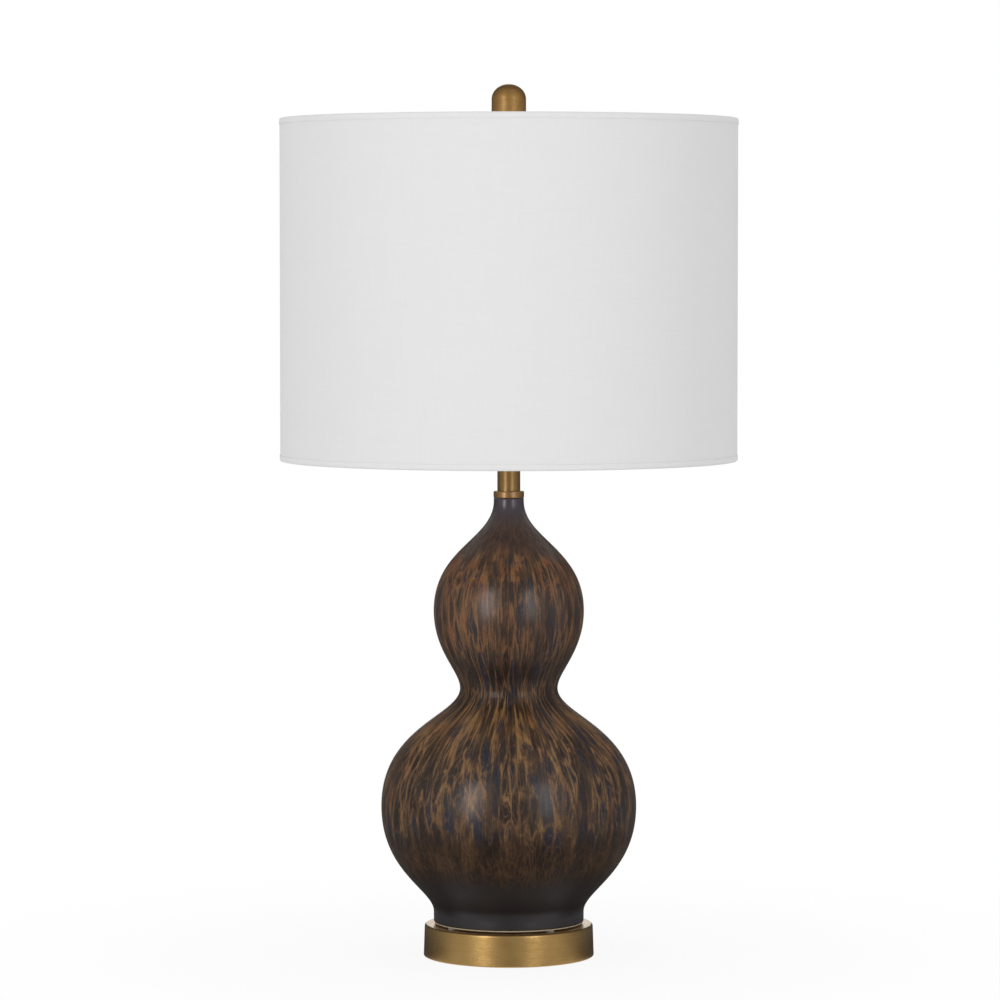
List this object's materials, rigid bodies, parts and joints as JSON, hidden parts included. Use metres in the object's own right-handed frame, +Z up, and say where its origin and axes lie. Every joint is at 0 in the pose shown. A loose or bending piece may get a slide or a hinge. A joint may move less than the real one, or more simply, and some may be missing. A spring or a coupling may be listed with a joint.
{
  "type": "table lamp",
  "caption": "Table lamp with a glazed ceramic body of two stacked gourd bulbs on a round brass base, drum shade on a harp, brass finial.",
  "frame": {"origin": "centre of the resting face, the underside of the felt under the base", "axes": "+Z up along the lamp's axis; -Y the front, where the switch knob points; the cord outlet is at +Y; the harp lies in the XZ plane"},
  "size_m": [0.3799, 0.38, 0.7255],
  "materials": {
    "antique_brass": "brushed antique brass under clear lacquer",
    "cover_board": "pressed fibre board",
    "black_felt": "dense black felt",
    "outlet_bush": "dark moulded plastic",
    "clear_pad": "clear self-adhesive pad",
    "reactive_glaze": "satin reactive glaze, amber-brown streaks over near black",
    "zinc_steel": "zinc plate",
    "plated_wire": "brass-plated steel",
    "ring_coat": "white coating",
    "ferrule_brass": "turned brass",
    "holder_brass": "spun brass",
    "insulating_fibre": "vulcanised fibre",
    "black_phenolic": "moulded phenolic",
    "screw_brass": "bare brass",
    "frosted_glass": "inside-frosted",
    "stem_glass": "clear",
    "filament_wire": "tungsten and nickel wire",
    "bulb_aluminium": "rolled aluminium",
    "black_glass": "black glass insulator",
    "solder": "solder",
    "shade_cloth": "white plain-weave cloth on a stiff backing",
    "white_styrene": "white styrene sheet"
  },
  "bodies": {
    "stand": {"base_shell": "antique_brass", "base_cover": "cover_board", "base_felt": "black_felt", "cord_bushing": "outlet_bush", "foot_pads": "clear_pad", "gourd_body": "reactive_glaze", "neck_cap": "antique_brass", "neck_tube": "antique_brass", "threaded_rod": "zinc_steel", "rod_washer": "zinc_steel", "rod_lock_washer": "zinc_steel", "rod_nut": "zinc_steel", "harp_saddle": "plated_wire", "socket_cap": "holder_brass", "socket_set_screw": "zinc_steel", "socket_shell": "holder_brass", "socket_liner": "insulating_fibre", "socket_interior": "black_phenolic", "screw_shell": "screw_brass", "centre_contact": "screw_brass", "terminal_screws": "screw_brass"},
    "switch": {"switch_shaft": "screw_brass", "switch_knob": "black_phenolic"},
    "bulb": {"bulb_glass": "frosted_glass", "bulb_stem": "stem_glass", "bulb_filament": "filament_wire", "bulb_cap": "bulb_aluminium", "bulb_insulator": "black_glass", "bulb_contact": "solder"},
    "harp": {"harp_wire": "plated_wire"},
    "left_ferrule": {"ferrule_left": "ferrule_brass"},
    "right_ferrule": {"ferrule_right": "ferrule_brass"},
    "swivel": {"harp_swivel": "plated_wire"},
    "shade": {"shade_fabric": "shade_cloth", "shade_liner": "white_styrene", "shade_spider": "plated_wire", "shade_bottom_ring": "ring_coat", "shade_top_trim": "shade_cloth", "shade_bottom_trim": "shade_cloth"},
    "finial": {"finial": "antique_brass"}
  },
  "joints": [
    {"name": "switch_turn", "type": "hinge", "parent": "stand", "child": "switch", "pos_m": [0, -0.03, 0.4609], "axis": [0, -1, 0], "continuous": true},
    {"name": "bulb_lift", "type": "slide", "parent": "stand", "child": "bulb", "axis": [0, 0, 1], "range_m": [0, 0.03]},
    {"name": "harp_lift", "type": "slide", "parent": "stand", "child": "harp", "axis": [0, 0, 1], "range_m": [0, 0.025]},
    {"name": "ferrule_left_slide", "type": "slide", "parent": "harp", "child": "left_ferrule", "axis": [0, 0, 1], "range_m": [0, 0.014]},
    {"name": "ferrule_right_slide", "type": "slide", "parent": "harp", "child": "right_ferrule", "axis": [0, 0, 1], "range_m": [0, 0.014]},
    {"name": "shade_swivel", "type": "hinge", "parent": "harp", "child": "swivel", "pos_m": [0, 0, 0.684], "axis": [0, 0, 1], "continuous": true},
    {"name": "shade_lift", "type": "slide", "parent": "swivel", "child": "shade", "axis": [0, 0, 1], "range_m": [0, 0.3]},
    {"name": "finial_lift", "type": "slide", "parent": "shade", "child": "finial", "axis": [0, 0, 1], "range_m": [0, 0.03]}
  ]
}
